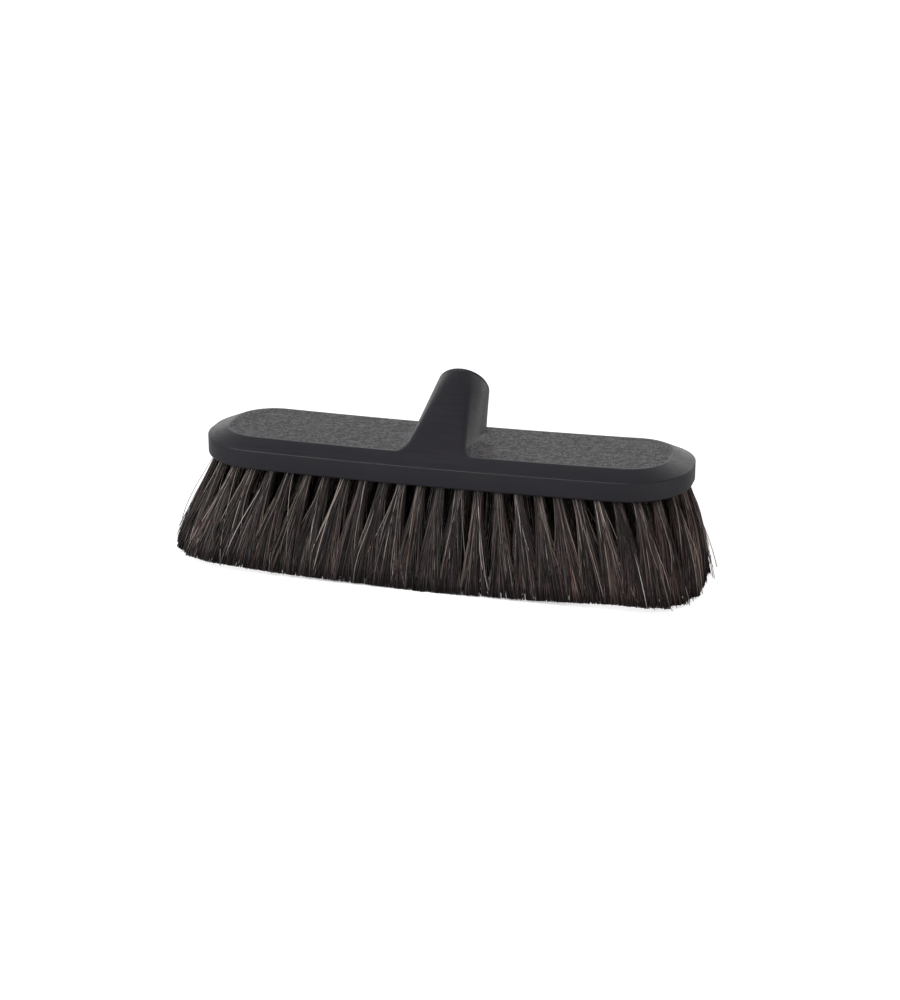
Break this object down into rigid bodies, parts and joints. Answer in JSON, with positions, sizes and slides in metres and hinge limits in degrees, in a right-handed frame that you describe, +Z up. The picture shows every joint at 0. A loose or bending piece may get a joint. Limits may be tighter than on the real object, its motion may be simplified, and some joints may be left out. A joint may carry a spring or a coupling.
{
  "type": "car wash brush",
  "caption": "Oblong hand wash brush head: a moulded block with a slanted handle socket, and flared hair tufts set in its underside.",
  "frame": {"origin": "on the plane of the hair tips, under the middle of the block", "axes": "+X along the block, +Z up from the tips to the block, +Y towards the side that the handle socket leans to"},
  "size_m": [0.3018, 0.0998, 0.1026],
  "materials": {
    "block_plastic": "black moulded plastic, satin on the shoulder and sides, finely grained on the top",
    "hair": "natural hair, black and dark brown mixed with reddish, grey and a few pale hairs"
  },
  "bodies": {
    "root": {"brush_block": "block_plastic", "inner_tuft_row_front": "hair", "inner_tuft_row_middle": "hair", "inner_tuft_row_rear": "hair", "rim_tuft_01": "hair", "rim_tuft_02": "hair", "rim_tuft_03": "hair", "rim_tuft_04": "hair", "rim_tuft_05": "hair", "rim_tuft_06": "hair", "rim_tuft_07": "hair", "rim_tuft_08": "hair", "rim_tuft_09": "hair", "rim_tuft_10": "hair", "rim_tuft_11": "hair", "rim_tuft_12": "hair", "rim_tuft_13": "hair", "rim_tuft_14": "hair", "rim_tuft_15": "hair", "rim_tuft_16": "hair", "rim_tuft_17": "hair", "rim_tuft_18": "hair", "rim_tuft_19": "hair", "rim_tuft_20": "hair", "rim_tuft_21": "hair", "rim_tuft_22": "hair", "rim_tuft_23": "hair", "rim_tuft_24": "hair", "rim_tuft_25": "hair", "rim_tuft_26": "hair", "rim_tuft_27": "hair", "rim_tuft_28": "hair", "rim_tuft_29": "hair", "rim_tuft_30": "hair", "rim_tuft_31": "hair", "rim_tuft_32": "hair", "rim_tuft_33": "hair", "rim_tuft_34": "hair", "rim_tuft_35": "hair", "rim_tuft_36": "hair", "rim_tuft_37": "hair", "rim_tuft_38": "hair", "rim_tuft_39": "hair", "rim_tuft_40": "hair", "rim_tuft_41": "hair", "rim_tuft_42": "hair", "rim_tuft_43": "hair", "rim_tuft_44": "hair", "rim_tuft_45": "hair", "rim_tuft_46": "hair", "rim_tuft_47": "hair", "rim_tuft_48": "hair", "rim_tuft_49": "hair", "rim_tuft_50": "hair", "rim_tuft_51": "hair", "rim_tuft_52": "hair", "rim_tuft_53": "hair", "rim_tuft_54": "hair", "rim_tuft_55": "hair", "rim_tuft_56": "hair"}
  },
  "joints": []
}
